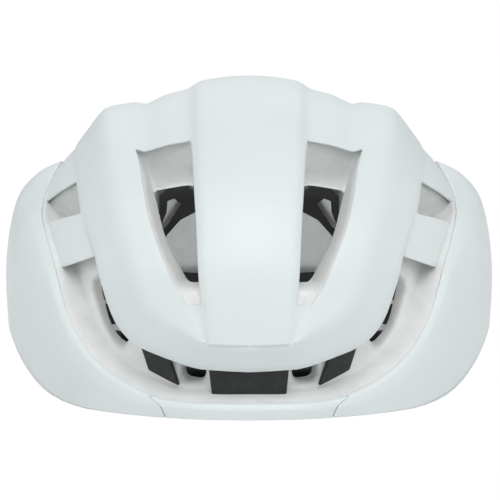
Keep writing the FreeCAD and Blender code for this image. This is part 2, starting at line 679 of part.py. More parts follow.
def build_buckle():
    """Housing and tongue closed on the strap line, and a ring round the folded strap."""
    floor = size("floor_gap")
    top = floor + size("buckle_thick")
    middle = (floor + top) / 2
    half = size("buckle_half_length")
    mouth = size("mouth_x")
    wall = size("buckle_wall")
    gap = size("strap_gap")
    inside = size("buckle_width") - 2 * wall
    strap_z = size("strap_lift") + size("strap_thick") / 2 + 2 * (size("strap_thick") + gap)
    socket = (strap_z - size("strap_thick") / 2 - gap, strap_z + size("strap_thick") / 2 + gap)
    socket_wide = size("strap_width") + 2 * gap
    shell = box_at("buckle_shell", (-half, mouth), size("buckle_width"), (floor, top))
    chamber = box_at("buckle_chamber", (mouth - size("prong_reach") - 1, mouth + 1), inside,
                     (floor + wall, top - wall))
    windows = box_at("buckle_windows", (mouth - size("prong_reach") + 2, mouth - 4),
                     size("buckle_width") + 2, (middle - 1.8, middle + 1.8))
    slot = box_at("buckle_strap_slot", (-half - 1, -half + size("strap_socket")), socket_wide, socket)
    parts["buckle_housing"] = cut("buckle_housing", shell, [chamber, windows, slot])
    grip = box_at("tongue_grip", (mouth + gap, half), size("buckle_width"), (floor, top))
    slot = box_at("tongue_strap_slot", (half - size("strap_socket"), half + 1), socket_wide, socket)
    body = cut("tongue_body", grip, [slot])
    prongs = []
    line = size("strap_line_y")
    reach = (mouth - size("prong_reach"), mouth + gap)
    height = (floor + wall + gap, top - wall - gap)
    for number, (low, high) in enumerate(((-inside / 2 + gap, -inside / 2 + 4), (-2, 2),
                                          (inside / 2 - 4, inside / 2 - gap))):
        prongs.append(block("tongue_prong_%d" % number, reach, (line + low, line + high), height))
    parts["buckle_tongue"] = fuse("buckle_tongue", [body] + prongs)
    x = -(size("divider_x") + half) / 2 + size("divider_width") / 4
    low = size("strap_lift") - gap
    high = strap_z + size("strap_thick") / 2 + gap
    rim = size("keeper_wall")
    span = (x - size("keeper_length") / 2, x + size("keeper_length") / 2)
    ring = box_at("keeper_blank", span, socket_wide + 2 * rim, (low - rim, high + rim))
    hole = box_at("keeper_hole", (span[0] - 1, span[1] + 1), socket_wide, (low, high))
    parts["strap_keeper"] = cut("strap_keeper", ring, [hole])


# ---------------------------------------------------------------- build and write

def write_parts():
    doc.recompute()
    for item in doc.Objects:
        if "Invalid" in item.State or "Error" in item.State:
            raise RuntimeError("failed: " + item.Name)
    for name, item in parts.items():
        if item.Shape.isNull() or not item.Shape.isValid():
            raise RuntimeError("bad shape: " + name)
        item.Label = name
    os.makedirs("parts", exist_ok=True)
    for name, item in parts.items():
        item.Shape.exportStep("parts/%s.step" % name)
        print(name, len(item.Shape.Solids), round(item.Shape.Volume))


share_out_skins(build_foam_and_skins())
build_brow_panels()
build_pads()
build_retention()
build_webbing(parts["foam_liner"])
build_buckle()
write_parts()
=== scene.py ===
import math
import bmesh
import bpy
from mathutils import Matrix, Vector


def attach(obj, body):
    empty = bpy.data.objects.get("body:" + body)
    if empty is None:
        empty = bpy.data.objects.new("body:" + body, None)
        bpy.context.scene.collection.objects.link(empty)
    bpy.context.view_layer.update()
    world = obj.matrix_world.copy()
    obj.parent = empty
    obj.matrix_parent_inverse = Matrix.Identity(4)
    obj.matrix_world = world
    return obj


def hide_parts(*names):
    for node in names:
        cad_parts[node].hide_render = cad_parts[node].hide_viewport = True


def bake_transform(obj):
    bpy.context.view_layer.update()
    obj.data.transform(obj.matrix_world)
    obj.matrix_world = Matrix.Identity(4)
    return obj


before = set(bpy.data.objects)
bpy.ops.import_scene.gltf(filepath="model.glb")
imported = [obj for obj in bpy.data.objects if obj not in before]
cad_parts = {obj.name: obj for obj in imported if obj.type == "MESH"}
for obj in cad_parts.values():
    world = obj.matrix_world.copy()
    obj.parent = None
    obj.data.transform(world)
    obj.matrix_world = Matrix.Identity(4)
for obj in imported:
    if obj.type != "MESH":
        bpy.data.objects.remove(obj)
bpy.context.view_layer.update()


# Camera and studio: a long lens a little above the helmet, in front of it,
# on a plain white floor that runs into a white surround.

view_target = Vector((0.0004, 0, 0.055))
view_distance = 2.0
view_rise = math.radians(6)
camera_data = bpy.data.cameras.new("camera")
camera_data.lens = 339
camera_data.sensor_width = 36
camera = bpy.data.objects.new("camera", camera_data)
view_direction = Vector((0, math.cos(view_rise), -math.sin(view_rise)))
camera.location = view_target - view_direction * view_distance
camera.rotation_euler = view_direction.to_track_quat("-Z", "Y").to_euler()
bpy.context.scene.collection.objects.link(camera)
bpy.context.scene.camera = camera
bpy.context.scene.view_settings.view_transform = "Standard"


def add_piece(name, bm, material):
    """Object with smooth faces made from a bmesh, which it uses up."""
    mesh = bpy.data.meshes.new(name)
    bm.to_mesh(mesh)
    bm.free()
    mesh.materials.append(material)
    mesh.shade_smooth()
    piece = bpy.data.objects.new(name, mesh)
    bpy.context.scene.collection.objects.link(piece)
    return piece


def new_material(name, colour, roughness):
    """Material with one Principled shader; returns it with its shader and nodes.

    The plain colour and roughness hold until a pattern is linked in their place.
    """
    material = bpy.data.materials.new(name)
    material.use_nodes = True
    shader = material.node_tree.nodes["Principled BSDF"]
    shader.inputs["Base Color"].default_value = (*colour, 1)
    shader.inputs["Roughness"].default_value = roughness
    return material, shader, material.node_tree


floor_white, shader, tree = new_material("floor_white", (0.86, 0.86, 0.86), 0.9)
shader.inputs["Specular IOR Level"].default_value = 0.0
path = tree.nodes.new("ShaderNodeLightPath")
glow = tree.nodes.new("ShaderNodeEmission")
seen = tree.nodes.new("ShaderNodeMath")
seen.operation = "MAXIMUM"
share = tree.nodes.new("ShaderNodeMath")
share.operation = "MULTIPLY"
share.inputs[1].default_value = 0.96
glow.inputs["Strength"].default_value = 1.03
blend = tree.nodes.new("ShaderNodeMixShader")
tree.links.new(path.outputs["Is Camera Ray"], seen.inputs[0])
tree.links.new(path.outputs["Is Glossy Ray"], seen.inputs[1])
tree.links.new(seen.outputs[0], share.inputs[0])
tree.links.new(share.outputs[0], blend.inputs[0])
tree.links.new(shader.outputs[0], blend.inputs[1])
tree.links.new(glow.outputs[0], blend.inputs[2])
tree.links.new(blend.outputs[0], tree.nodes["Material Output"].inputs["Surface"])
bm = bmesh.new()
bmesh.ops.create_grid(bm, x_segments=1, y_segments=1, size=6)
add_piece("floor", bm, floor_white)

world = bpy.data.worlds.new("studio")
world.use_nodes = True
bpy.context.scene.world = world
tree = world.node_tree
ambient = tree.nodes["Background"]
ambient.inputs["Color"].default_value = (0.95, 0.98, 1.0, 1)
ambient.inputs["Strength"].default_value = 0.52
white = tree.nodes.new("ShaderNodeBackground")
white.inputs["Strength"].default_value = 1.03
path = tree.nodes.new("ShaderNodeLightPath")
blend = tree.nodes.new("ShaderNodeMixShader")
tree.links.new(path.outputs["Is Camera Ray"], blend.inputs[0])
tree.links.new(ambient.outputs[0], blend.inputs[1])
tree.links.new(white.outputs[0], blend.inputs[2])
tree.links.new(blend.outputs[0], tree.nodes["World Output"].inputs["Surface"])


def soft_lamp(name, place, aim, size, power):
    """Square soft box at a place, aimed at a point."""
    lamp_data = bpy.data.lights.new(name, "AREA")
    lamp_data.size = size
    lamp_data.energy = power
    lamp = bpy.data.objects.new(name, lamp_data)
    lamp.location = place
    lamp.rotation_euler = (Vector(aim) - Vector(place)).to_track_quat("-Z", "Y").to_euler()
    bpy.context.scene.collection.objects.link(lamp)
    return lamp


soft_lamp("key", (0.1, -1.5, 1.65), view_target, 1.4, 21.5)
soft_lamp("left_fill", (-1.8, -0.9, 0.5), view_target, 1.2, 6.5)
soft_lamp("right_fill", (1.8, -0.9, 0.5), view_target, 1.2, 6.5)
soft_lamp("back_fill", (0.0, 1.8, 1.2), view_target, 1.4, 6)
under_lamp = soft_lamp("under_lamp", (0.0, -0.03, 0.014), (0, 0.03, 0.1), 0.07, 0.09)
under_lamp.data.color = (0.95, 0.98, 1.0)
under_lamp.visible_camera = False


# Outer skins: thin polycarbonate moulded to the foam in four pieces, with a
# satin off-white finish. The middle piece carries the ribs; it meets the side
# lobes in the recess and the brow piece at two short seams.

MM = 0.001
WIDE, LONG, RISE, DROP, EQUATOR = 104, 138, 74, 160, 55
CENTRE = Vector((0, 0, EQUATOR))
WELD, MIRROR_WELD = 0.00005, 0.00002     # metres


def limited(value):
    """The value kept between 0 and 1."""
    return min(1, max(0, value))


def crown_point(u, angle, inset):
    """On the dome: share of the half width, angle over the top, depth in mm."""
    along = math.radians(angle)
    ring = math.sqrt(1 - u * u)
    height = (RISE if 0 <= angle <= 180 else DROP) - inset
    return Vector((u * (WIDE - inset), -(LONG - inset) * math.cos(along) * ring,
                   EQUATOR + height * math.sin(along) * ring))


def skirt_point(turn, z, inset, wide=WIDE, long=LONG, rise=RISE, drop=DROP):
    """On the dome at a height, by the angle round from the front."""
    height = (rise if z > EQUATOR else drop) - inset
    ring = math.sqrt(max(0, 1 - ((z - EQUATOR) / height) ** 2))
    turn = math.radians(turn)
    return Vector(((wide - inset) * ring * math.sin(turn), -(long - inset) * ring * math.cos(turn), z))


def pushed_to(point, inset):
    """The point moved along its line from the middle to a depth under the dome."""
    out = point - CENTRE
    height = (RISE if out.z > 0 else DROP) - inset
    reach = math.sqrt((out.x / (WIDE - inset)) ** 2 + (out.y / (LONG - inset)) ** 2 + (out.z / height) ** 2)
    return CENTRE + out / reach


# Each line lists its points from the front middle over the side to the back
# middle: share of half width and angle, or angle round and height.
crest = [(0, -8.7), (.17, -8.4), (.26, -6.7), (.344, -5.1), (.40, -2.8), (.437, 1.5), (.456, 8),
         (.478, 16), (.505, 25), (.53, 35), (.55, 45), (.567, 57), (.58, 71), (.588, 88),
         (.588, 101), (.582, 112), (.57, 124), (.55, 135), (.51, 147), (.45, 158), (.365, 165),
         (.26, 170), (.14, 172.8), (0, 173.5)]
foot = [(0, -13.4), (.198, -13.35), (.295, -12.7), (.372, -12.1), (.465, -11.2), (.53, -9.2),
        (.572, -6.2), (.612, -1), (.638, 9), (.683, 30), (.704, 44), (.72, 57), (.735, 72),
        (.741, 88), (.74, 101), (.732, 112), (.72, 124), (.70, 136), (.66, 149), (.59, 161),
        (.49, 169), (.35, 174.5), (.18, 178), (0, 178.8)]
lobe = [(0, -17.7), (.204, -18.15), (.315, -18.45), (.375, -18.45), (.475, -17.85), (.575, -16.6),
        (.665, -13.8), (.735, -8.3), (.786, 1.5), (.856, 31), (.87, 45), (.874, 58), (.855, 71),
        (.832, 87), (.827, 101), (.825, 112), (.815, 124), (.80, 136), (.765, 150), (.70, 163),
        (.58, 172), (.41, 177.5), (.21, 181), (0, 182)]
lobe_depth = [3.2, 3.2, 3.2, 3.2, 3.2, 3.2, 3.2, 3.2, 3.4, 4.4, 5.5, 6.5, 7.2, 7.4, 7.4, 7.4, 7.2,
              6.8, 6, 5, 4, 3.2, 3.2, 3.2]
lobe_crest = [(0, 4.6), (10.4, 4.6), (16, 4.6), (21, 4.9), (28.5, 6.2), (35.5, 9.6), (42.5, 16.2),
              (49, 25), (57, 39), (65, 57), (70.5, 66), (76, 71.5), (82, 75), (88.5, 76.5), (95, 76.5),
              (102, 75), (109, 72.5), (117, 69), (127, 64.5), (138, 60.5), (148, 58), (157, 54),
              (168, 50.5), (180, 49)]
waist = [(0, 2.3), (10.3, 2.3), (15.7, 2.3), (20.4, 2.4), (29, 3), (37, 4.5), (45, 8), (52, 14.5),
         (59, 25), (68, 39), (75, 45), (81, 48), (86, 50), (91, 51), (96, 51), (101, 50), (107, 48),
         (114, 44), (124, 38), (135, 34), (147, 32), (156, 40), (166, 46.5), (180, 45.5)]
rim = [(0, 0), (10.2, 0), (15.5, 0), (20, 0), (29.5, 0), (38.5, 0), (47, .8), (55.5, 3), (63, 7.5),
       (70.5, 14), (77.5, 20.5), (83.5, 24), (88, 24), (92, 24), (97, 24), (102, 23), (108, 17),
       (114, 9), (122, 1.5), (135, 0), (152, 0), (161, 22), (168.5, 41), (180, 42.5)]
# Lines of the ribs, from the second station to the last but one.
rib_angle = [-8.7, -5.8, -4.1, -3.1, -.5, 5, 12.5, 23, 34, 44, 51.5, 68, 87, 100, 112, 124, 135,
             147, 158, 166, 171, 173.2]
rib_edge = [.154, .157, .159, .161, .165, .17, .175, .183, .192, .197, .20, .203, .204, .202, .198,
            .193, .188, .18, .165, .15, .135, .13]
rib_foot = [.159, .18, .185, .188, .195, .20, .205, .212, .222, .23, .238, .25, .262, .262, .257,
            .25, .24, .225, .20, .175, .15, .133]
trough_edge = [.162, .19, .205, .222, .268, .298, .335, .376, .40, .417, .43, .442, .447, .443, .434,
               .416, .39, .35, .295, .24, .185, .135]
vent_edge = [.166, .205, .222, .24, .288, .318, .355, .396, .42, .438, .457, .474, .484, .48, .466,
             .448, .425, .385, .33, .27, .205, .137]
FIRST, LAST = 1, 22

# Row ranges of the openings, with two rows to a station: in the trough beside
# the middle rib, the open gap over the brow, and in the recess beside the lobe.
RIB_VENTS = ((6, 20), (25, 28), (29, 34), (35, 39))
BROW_GAP = (0, 16)
SIDE_VENTS = ((18, 21), (28, 32), (34, 38))
BROW_END = 6
TEMPLE, NAPE = 8, 19             # stations between which the recess is wide
RIM_LIFT = .3


def finer(points):
    """Puts a point on the smooth curve between each two."""
    result = []
    for i in range(len(points) - 1):
        before = points[max(i - 1, 0)]
        after = points[min(i + 2, len(points) - 1)]
        here, there = points[i], points[i + 1]
        result += [here, (here + there) * 0.5625 - (before + after) * 0.0625]
    return result + [points[-1]]


def crest_line(sink):
    """Crease along the top of a side rib, which stands a little proud at the crown."""
    points = [crown_point(u, angle, sink - .8 * max(0, math.sin(math.radians(angle))))
              for u, angle in crest]
    return finer(points)


def rib_lines(sink):
    """Lines of the middle rib, the trough beside it and the side rib's top."""
    lines = []
    middle = [(a + b) / 2 for a, b in zip(rib_foot, trough_edge)]
    for shares, shallow, deep in (([0] * len(rib_angle), 0, .1), ([u / 2 for u in rib_edge], 0, .2),
                                  (rib_edge, .5, 1), (rib_foot, 2.4, 3.6), (middle, 3, 3.8),
                                  (trough_edge, 3, 5.3), (vent_edge, 1, 2.6)):
        points = []
        for row, (u, angle) in enumerate(zip(shares, rib_angle)):
            rise = min(1, .3 + row / 3, (LAST - FIRST - row) / 3)
            growth = limited((row - 5) / 4)
            points.append(crown_point(u, angle, sink + rise * (shallow + (deep - shallow) * growth)))
        lines.append(finer(points))
    lines.append(crest_line(sink)[2 * FIRST:2 * LAST + 1])
    return lines


def flank_lines(sink, floor_depths):
    """Lines from the side rib's crest down to the rim."""
    foot_line, lip, sill, ledge, lobe_line, roll = [], [], [], [], [], []
    for station, ((u, angle), (far_u, far_angle)) in enumerate(zip(foot, lobe)):
        depth = floor_depths[station]
        low = lobe_depth[station]
        step = .028 if TEMPLE < station < NAPE else .004
        under = .012 if TEMPLE <= station < NAPE else -.004
        far_u_under = far_u + (under if far_u else 0)
        foot_line.append(crown_point(u, angle, sink + 6))
        lip.append(crown_point(u + (step if u else 0), angle, sink + depth))
        ledge.append(crown_point(far_u_under, far_angle, sink + max(depth, low + 1.6)))
        sill.append(pushed_to(lip[-1].lerp(ledge[-1], .7 if station <= TEMPLE else .5), sink + depth))
        lobe_line.append(crown_point(far_u, far_angle, sink + low))
        apart = .012 + .03 * limited(min(station - TEMPLE + 1, NAPE + 1 - station) / 3)
        roll.append(crown_point(far_u + (apart if far_u else 0), far_angle, sink + max(.9, low - 4)))
    outer = [skirt_point(turn, z, sink) for turn, z in lobe_crest]
    swell = [(a + b) / 2 for a, b in zip(roll, outer)]
    swell[TEMPLE + 1:] = [(point + pushed_to(point, sink)) / 2 for point in swell[TEMPLE + 1:]]
    waist_line = [skirt_point(turn, z, sink) for turn, z in waist]
    rim_line = [skirt_point(turn, z, sink) for turn, z in rim]
    lines = [crest_line(sink)] + [finer(points) for points in (
        foot_line, lip, sill, ledge, lobe_line, roll, swell, outer, waist_line, rim_line)]
    for point in lines[-1]:
        point.z = max(point.z, RIM_LIFT)
    return lines


def sheet_through(bm, lines):
    """Draws the first line, then extrudes it from line to line; returns the grid."""
    chain = [bm.verts.new(point * MM) for point in lines[0]]
    edges = [bm.edges.new(pair) for pair in zip(chain, chain[1:])]
    grid = [chain]
    for points in lines[1:]:
        grown = bmesh.ops.extrude_edge_only(bm, edges=edges)["geom"]
        fresh = {item for item in grown if isinstance(item, bmesh.types.BMVert)}
        chain = [next(edge.other_vert(vert) for edge in vert.link_edges
                      if edge.other_vert(vert) in fresh) for vert in chain]
        for vert, point in zip(chain, points):
            vert.co = point * MM
        edges = [bm.edges.get(pair) for pair in zip(chain, chain[1:])]
        grid.append(chain)
    return grid


def cells(grid, column, rows):
    """Faces between a line and the next, for a range of rows."""
    found = []
    for row in range(*rows):
        near, far = grid[column], grid[column + 1]
        corners = (near[row], near[row + 1], far[row + 1], far[row])
        shared = set(corners[0].link_faces)
        for vert in corners[1:]:
            shared &= set(vert.link_faces)
        found += list(shared)
    return found


def crease(bm, chains, amount):
    """Keeps the edges along each chain of points sharper than the rest."""
    layer = bm.edges.layers.float.get("crease_edge") or bm.edges.layers.float.new("crease_edge")
    for chain in chains:
        for pair in zip(chain, chain[1:]):
            edge = bm.edges.get(pair)
            if edge:
                edge[layer] = amount


def both_sides(bm):
    """Completes the left half with its mirror image, welded along the middle."""
    half = bm.verts[:] + bm.edges[:] + bm.faces[:]
    bmesh.ops.mirror(bm, geom=half, matrix=Matrix.Identity(4), merge_dist=MIRROR_WELD, axis="X")
    bmesh.ops.remove_doubles(bm, verts=bm.verts, dist=MIRROR_WELD)


def face_outwards(bm):
    """Turns every face of an open sheet away from the middle of the helmet."""
    bmesh.ops.recalc_face_normals(bm, faces=bm.faces)
    lean = sum((face.calc_center_median() - CENTRE * MM).dot(face.normal) * face.calc_area()
               for face in bm.faces)
    if lean < 0:
        bmesh.ops.reverse_faces(bm, faces=bm.faces)


SKIN_THICK, SKIN_CREASE = 1, .5


def skin_finish(piece, node, smoothness):
    """Gives an open sheet its wall and smooth surface and sets it on the helmet."""
    wall = piece.modifiers.new("wall", "SOLIDIFY")
    wall.thickness = SKIN_THICK * MM
    wall.offset = -1
    wall.edge_crease_inner = SKIN_CREASE
    wall.edge_crease_outer = SKIN_CREASE
    wall.edge_crease_rim = SKIN_CREASE
    surface = piece.modifiers.new("surface", "SUBSURF")
    surface.levels = smoothness
    surface.render_levels = smoothness
    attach(piece, "helmet")
    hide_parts(node)


def noise_bump(tree, shader, scale, detail, strength, distance):
    """Fine relief from noise in object space; returns the noise and coordinate nodes."""
    place = tree.nodes.new("ShaderNodeTexCoord")
    noise = tree.nodes.new("ShaderNodeTexNoise")
    noise.inputs["Scale"].default_value = scale
    noise.inputs["Detail"].default_value = detail
    bump = tree.nodes.new("ShaderNodeBump")
    bump.inputs["Strength"].default_value = strength
    bump.inputs["Distance"].default_value = distance
    tree.links.new(place.outputs["Object"], noise.inputs["Vector"])
    tree.links.new(noise.outputs["Fac"], bump.inputs["Height"])
    tree.links.new(bump.outputs["Normal"], shader.inputs["Normal"])
    return noise, place


def vary(tree, source, target, low, high, dark=0.0, light=1.0):
    """Spreads a mask over two values, colours or numbers, into a socket."""
    ramp = tree.nodes.new("ShaderNodeValToRGB")
    ramp.color_ramp.elements[0].position = dark
    ramp.color_ramp.elements[1].position = light
    ramp.color_ramp.elements[0].color = low
    ramp.color_ramp.elements[1].color = high
    tree.links.new(source, ramp.inputs["Fac"])
    tree.links.new(ramp.outputs["Color"], target)


skin_white, shader, tree = new_material("skin_white", (0.72, 0.775, 0.775), 0.45)
shader.inputs["Specular IOR Level"].default_value = 0.35
noise, place = noise_bump(tree, shader, 2600, 3, .12, .00004)
clouds = tree.nodes.new("ShaderNodeTexNoise")
clouds.inputs["Scale"].default_value = 26
clouds.inputs["Detail"].default_value = 4
tree.links.new(place.outputs["Object"], clouds.inputs["Vector"])
vary(tree, clouds.outputs["Fac"], shader.inputs["Base Color"],
     (0.708, 0.757, 0.757, 1), (0.735, 0.779, 0.779, 1), .3, .7)
vary(tree, noise.outputs["Fac"], shader.inputs["Roughness"], (.42,) * 3 + (1,), (.5,) * 3 + (1,), .3, .7)

SEAM_SHARE = .045                # of a row, left open at each seam
skin_floor = [7.6] * len(foot)   # depth of the recess at each station
bm = bmesh.new()
ribs = sheet_through(bm, rib_lines(0))
flank = sheet_through(bm, flank_lines(0, skin_floor)[:5])
doomed = []
for rows in RIB_VENTS:
    doomed += cells(ribs, 3, rows) + cells(ribs, 4, rows)
doomed += cells(ribs, 5, RIB_VENTS[0])
for column in (1, 2, 3):
    doomed += cells(flank, column, BROW_GAP)
for rows in SIDE_VENTS:
    doomed += cells(flank, 2, rows) + cells(flank, 3, rows)
crease(bm, ribs[2:3], .6)
crease(bm, ribs[3:4] + ribs[5:6], .3)
crease(bm, ribs[6:7], .35)
crease(bm, ribs[7:8] + flank[0:1], .4)
crease(bm, flank[1:2], .45)
crease(bm, flank[2:3], .3)
crease(bm, [[chain[0] for chain in ribs], [chain[-1] for chain in ribs]], .4)
bmesh.ops.delete(bm, geom=doomed, context="FACES")
bmesh.ops.remove_doubles(bm, verts=bm.verts, dist=WELD)
both_sides(bm)
face_outwards(bm)
skin_finish(add_piece("outer_skin_upper", bm, skin_white), "upper_shell", 2)

bm = bmesh.new()
lines = [line[:BROW_END + 1] for line in flank_lines(0, skin_floor)[5:]]
for line in lines:
    line[-1] = line[-1].lerp(line[-2], SEAM_SHARE)
grid = sheet_through(bm, lines)
crease(bm, [grid[0], grid[-1], [chain[-1] for chain in grid]], .55)
crease(bm, [grid[3]], .3)
both_sides(bm)
face_outwards(bm)
skin_finish(add_piece("outer_skin_brow", bm, skin_white), "brow_shell", 3)

for side, turn in (("left", 1), ("right", -1)):
    bm = bmesh.new()
    lines = [line[BROW_END:] for line in flank_lines(0, skin_floor)[5:]]
    for line in lines:
        line[0] = line[0].lerp(line[1], SEAM_SHARE)
    grid = sheet_through(bm, lines)
    crease(bm, [grid[0], grid[-1], [chain[0] for chain in grid]], .55)
    crease(bm, [grid[3][:8]], .3)
    bmesh.ops.remove_doubles(bm, verts=bm.verts, dist=WELD)
    bmesh.ops.scale(bm, vec=(turn, 1, 1), verts=bm.verts)
    face_outwards(bm)
    skin_finish(add_piece("outer_skin_" + side, bm, skin_white), "side_shell_" + side, 3)


# Foam body: expanded bead foam moulded inside the skins and bare in the
# openings, whose walls run in to the head cavity.

CAVITY_WIDE, CAVITY_LONG, CAVITY_RISE, CAVITY_DROP = 80, 104, 42, 150
FOAM_VENTS = ((8, 20),) + RIB_VENTS[1:]     # the front ones start lower in the skin
BROW_WINDOW = (2, 4)
TEMPLE_OPENING = (10, 15)
UNDER_SKIN = 1.1

foam_pale, shader, tree = new_material("foam_pale", (0.79, 0.80, 0.787), 0.7)
shader.inputs["Specular IOR Level"].default_value = 0.3
place = tree.nodes.new("ShaderNodeTexCoord")
beads = tree.nodes.new("ShaderNodeTexVoronoi")
beads.inputs["Scale"].default_value = 420
mottle = tree.nodes.new("ShaderNodeTexNoise")
mottle.inputs["Scale"].default_value = 160
mottle.inputs["Detail"].default_value = 5
relief = tree.nodes.new("ShaderNodeMath")
relief.operation = "MULTIPLY_ADD"
relief.inputs[1].default_value = 0.5
bump = tree.nodes.new("ShaderNodeBump")
bump.inputs["Strength"].default_value = 0.35
bump.inputs["Distance"].default_value = 0.0003
tree.links.new(place.outputs["Object"], beads.inputs["Vector"])
tree.links.new(place.outputs["Object"], mottle.inputs["Vector"])
tree.links.new(beads.outputs["Distance"], relief.inputs[0])
tree.links.new(mottle.outputs["Fac"], relief.inputs[2])
tree.links.new(relief.outputs[0], bump.inputs["Height"])
tree.links.new(bump.outputs["Normal"], shader.inputs["Normal"])
vary(tree, mottle.outputs["Fac"], shader.inputs["Base Color"],
     (0.765, 0.773, 0.757, 1), (0.815, 0.825, 0.81, 1), .35, .65)


def on_cavity(point):
    """Where the foam's inner wall lies behind a point of its outside.

    The openings widen to the sides on their way in, most of all at the temples.
    """
    point = point / MM
    flare = 1.06
    if point.y < -60:
        low = limited((44 - point.z) / 10)
        flare += (.08 + .09 * low) * limited((abs(point.x) - 45) / 10)
    point.x *= flare
    if point.z <= EQUATOR:
        turn = math.degrees(math.atan2(point.x / WIDE, -point.y / LONG))
        return skirt_point(turn, point.z, 0, CAVITY_WIDE, CAVITY_LONG, CAVITY_RISE, CAVITY_DROP) * MM
    out = Vector((point.x / WIDE, point.y / LONG, (point.z - EQUATOR) / RISE)).normalized()
    return Vector((out.x * CAVITY_WIDE, out.y * CAVITY_LONG, EQUATOR + out.z * CAVITY_RISE)) * MM


foam_floor = [13] * 7 + [14, 14, 11] + [9] * 14     # depth at each station
bm = bmesh.new()
ribs = sheet_through(bm, rib_lines(UNDER_SKIN))
flank = sheet_through(bm, flank_lines(UNDER_SKIN, foam_floor))
doomed = []
for rows in FOAM_VENTS:
    doomed += cells(ribs, 3, rows) + cells(ribs, 4, rows)
doomed += cells(ribs, 5, FOAM_VENTS[0])
for rows in SIDE_VENTS:
    doomed += cells(flank, 2, rows) + cells(flank, 3, rows)
doomed += cells(flank, 2, BROW_WINDOW) + cells(flank, 2, TEMPLE_OPENING)
crease(bm, ribs[2:7], .4)
crease(bm, flank[1:3] + flank[4:6], .5)
crease(bm, flank[-1:], .7)
bmesh.ops.delete(bm, geom=doomed, context="FACES")
bmesh.ops.remove_doubles(bm, verts=bm.verts, dist=WELD)
both_sides(bm)
face_outwards(bm)
inner = bmesh.ops.extrude_face_region(bm, geom=bm.faces[:], use_keep_orig=True)["geom"]
for item in inner:
    if isinstance(item, bmesh.types.BMVert):
        item.co = on_cavity(item.co)
bmesh.ops.recalc_face_normals(bm, faces=bm.faces)
foam = add_piece("foam_body", bm, foam_pale)
surface = foam.modifiers.new("surface", "SUBSURF")
surface.levels = 2
surface.render_levels = 2
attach(foam, "helmet")
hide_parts("foam_liner")


# Brow inserts: three matt black moulded plates glued to the floor of the
# brow gap, one in the middle and one at each side of the two windows.

insert_black, shader, tree = new_material("insert_black", (0.024, 0.026, 0.0255), 0.66)
noise, place = noise_bump(tree, shader, 900, 6, .5, .0002)
clouds = tree.nodes.new("ShaderNodeTexNoise")
clouds.inputs["Scale"].default_value = 240
clouds.inputs["Detail"].default_value = 6
tree.links.new(place.outputs["Object"], clouds.inputs["Vector"])
vary(tree, clouds.outputs["Fac"], shader.inputs["Base Color"],
     (0.008, 0.009, 0.0088, 1), (0.021, 0.023, 0.0225, 1), .3, .7)
vary(tree, noise.outputs["Fac"], shader.inputs["Roughness"], (.5,) * 3 + (1,), (.75,) * 3 + (1,))

INSERT_DEPTH, INSERT_THICK, INSERT_EDGE = 11.2, 2.2, .5
ACROSS, DOWN = 8, 4              # cells of a plate

for name, corners in (("centre", ((-.174, -14.0), (.174, -14.0), (.161, -18.6), (-.161, -18.6))),
                      ("left", ((.352, -12.6), (.475, -11.6), (.438, -16.1), (.306, -17.6))),
                      ("right", ((-.475, -11.6), (-.352, -12.6), (-.306, -17.6), (-.438, -16.1)))):
    top_in, top_out, low_out, low_in = [Vector(corner) for corner in corners]
    lines = []
    for down in range(DOWN + 1):
        start = top_in.lerp(low_in, down / DOWN)
        end = top_out.lerp(low_out, down / DOWN)
        across = [start.lerp(end, step / ACROSS) for step in range(ACROSS + 1)]
        lines.append([crown_point(u, angle, INSERT_DEPTH) for u, angle in across])
    bm = bmesh.new()
    sheet_through(bm, lines)
    face_outwards(bm)
    plate = add_piece("brow_insert_" + name, bm, insert_black)
    wall = plate.modifiers.new("wall", "SOLIDIFY")
    wall.thickness = INSERT_THICK * MM
    wall.offset = -1
    edge = plate.modifiers.new("edge", "BEVEL")
    edge.width = INSERT_EDGE * MM
    edge.segments = 2
    edge.limit_method = "ANGLE"
    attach(plate, "helmet")
    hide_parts("brow_panel_" + name)


# Pads: knitted fabric over soft foam, welded round their edges and held to the
# cavity wall by hook and loop.

pad_knit, shader, tree = new_material("pad_knit", (0.022, 0.022, 0.024), 0.95)
shader.inputs["Sheen Weight"].default_value = 0.25
shader.inputs["Specular IOR Level"].default_value = 0.2
place = tree.nodes.new("ShaderNodeTexCoord")
loops = tree.nodes.new("ShaderNodeTexVoronoi")
loops.inputs["Scale"].default_value = 1100
bump = tree.nodes.new("ShaderNodeBump")
bump.inputs["Strength"].default_value = 0.6
bump.inputs["Distance"].default_value = 0.0002
tree.links.new(place.outputs["Object"], loops.inputs["Vector"])
tree.links.new(loops.outputs["Distance"], bump.inputs["Height"])
tree.links.new(bump.outputs["Normal"], shader.inputs["Normal"])
vary(tree, loops.outputs["Distance"], shader.inputs["Base Color"],
     (0.030, 0.030, 0.032, 1), (0.010, 0.010, 0.011, 1), 0, .8)


PAD_THICK = 5
END_RISE, END_START = 16, 37     # the brow pad's ends reach up past this angle
PAD_WELD = 0.00001               # metres


def cavity_spot(a, b, inset, across):
    """On the cavity wall: across the crown by X and Y, or round the skirt by angle and Z."""
    if across == "skirt":
        return skirt_point(a, b, inset, CAVITY_WIDE, CAVITY_LONG, CAVITY_RISE, CAVITY_DROP)
    level = 1 - (a / (CAVITY_WIDE - inset)) ** 2 - (b / (CAVITY_LONG - inset)) ** 2
    return Vector((a, b, EQUATOR + (CAVITY_RISE - inset) * math.sqrt(level)))


